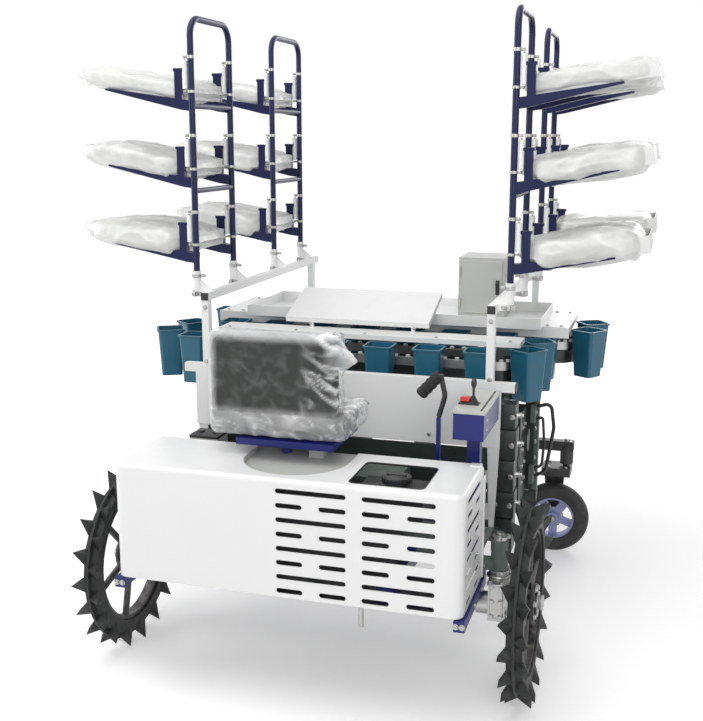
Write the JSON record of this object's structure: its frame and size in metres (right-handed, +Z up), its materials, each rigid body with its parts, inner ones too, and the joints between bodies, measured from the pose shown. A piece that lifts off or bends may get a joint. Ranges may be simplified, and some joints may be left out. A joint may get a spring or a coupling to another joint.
{
  "type": "riding seedling transplanter with cup carousels",
  "caption": "Riding seedling transplanter: hooded engine with seat, lugged drive wheels, cup carousels, tray racks on navy ladders and rear castors",
  "frame": {"origin": "on the floor, in the middle of the machine's length and width", "axes": "+X to the right of a rider who faces the carousels, +Y from the hood towards the carousels, +Z up"},
  "size_m": [1.9396, 1.785, 2.092],
  "materials": {
    "white_sheet": "satin",
    "white_frame": "satin",
    "navy_paint": "gloss",
    "violet_blue_paint": "gloss",
    "grey_green_paint": "satin",
    "black_paint": "satin",
    "grey_paint": "satin",
    "cup_plastic": "satin",
    "tray_plastic": "matte",
    "seat_vinyl": "matte",
    "drive_rubber": "matte",
    "castor_rubber": "matte",
    "castor_rim_paint": "satin",
    "black_plastic": "satin",
    "label_blue": "satin",
    "bare_steel": "brushed",
    "engine_iron": "rough"
  },
  "bodies": {
    "machine": {"chassis_rails": "violet_blue_paint", "chassis_members": "violet_blue_paint", "side_bars": "violet_blue_paint", "steering_beam": "grey_green_paint", "engine": "engine_iron", "drain_pipe": "bare_steel", "undertray": "black_paint", "side_box": "grey_paint", "lower_shield": "grey_green_paint", "planter_drive": "grey_green_paint", "carousel_frame": "grey_green_paint", "hoses": "black_plastic", "control_lid": "grey_paint", "lever_grip": "black_plastic", "gearbox": "grey_green_paint", "hood": "white_sheet", "seat_mount": "grey_paint", "seat_plate": "violet_blue_paint", "seat": "seat_vinyl", "fuel_tank": "black_plastic", "label_plate": "label_blue", "footplate": "grey_green_paint", "front_panel": "white_sheet", "cross_frame": "white_frame", "rack_right": "white_frame", "rack_left": "white_frame", "front_cover": "white_sheet", "rear_cover": "white_sheet", "shelf": "white_sheet", "table": "white_sheet", "cabinet": "grey_paint", "planter_frame": "grey_green_paint", "planter_beaks": "bare_steel", "seed_tubes": "black_plastic", "control_box": "violet_blue_paint", "control_lever": "violet_blue_paint", "castor_beam": "black_paint", "ladders_right": "navy_paint", "trays_right": "tray_plastic", "ladders_left": "navy_paint", "trays_left": "tray_plastic", "cups_front": "cup_plastic", "carousel_bed_front": "black_paint", "carousel_chain_front": "bare_steel", "cups_rear": "cup_plastic", "carousel_bed_rear": "black_paint", "carousel_chain_rear": "bare_steel"},
    "drive_unit_right": {"knuckle_right": "bare_steel"},
    "drive_wheel_right": {"drive_tyre_right": "drive_rubber", "drive_rim_right": "black_paint"},
    "castor_swivel_right": {"castor_fork_right": "black_paint"},
    "castor_wheel_right": {"castor_tyre_right": "castor_rubber", "castor_rim_right": "castor_rim_paint"},
    "drive_unit_left": {"knuckle_left": "bare_steel"},
    "drive_wheel_left": {"drive_tyre_left": "drive_rubber", "drive_rim_left": "black_paint"},
    "castor_swivel_left": {"castor_fork_left": "black_paint"},
    "castor_wheel_left": {"castor_tyre_left": "castor_rubber", "castor_rim_left": "castor_rim_paint"}
  },
  "joints": [
    {"name": "drive_right_steer", "type": "hinge", "parent": "machine", "child": "drive_unit_right", "pos_m": [0.585, -0.5575, 0.45], "axis": [0, 0, 1], "range_deg": [-12, 12]},
    {"name": "drive_wheel_right_spin", "type": "hinge", "parent": "drive_unit_right", "child": "drive_wheel_right", "pos_m": [0.672, -0.5575, 0.31], "axis": [1, 0, 0], "continuous": true},
    {"name": "castor_right_swivel", "type": "hinge", "parent": "machine", "child": "castor_swivel_right", "pos_m": [0.668, 0.6625, 0.419], "axis": [0, 0, 1], "continuous": true},
    {"name": "castor_right_roll", "type": "hinge", "parent": "castor_swivel_right", "child": "castor_wheel_right", "pos_m": [0.623, 0.6625, 0.145], "axis": [0, 1, 0], "continuous": true},
    {"name": "drive_left_steer", "type": "hinge", "parent": "machine", "child": "drive_unit_left", "pos_m": [-0.585, -0.5575, 0.45], "axis": [0, 0, 1], "range_deg": [-12, 12]},
    {"name": "drive_wheel_left_spin", "type": "hinge", "parent": "drive_unit_left", "child": "drive_wheel_left", "pos_m": [-0.672, -0.5575, 0.31], "axis": [1, 0, 0], "continuous": true},
    {"name": "castor_left_swivel", "type": "hinge", "parent": "machine", "child": "castor_swivel_left", "pos_m": [-0.668, 0.6625, 0.419], "axis": [0, 0, 1], "continuous": true},
    {"name": "castor_left_roll", "type": "hinge", "parent": "castor_swivel_left", "child": "castor_wheel_left", "pos_m": [-0.623, 0.6625, 0.145], "axis": [0, 1, 0], "continuous": true}
  ]
}
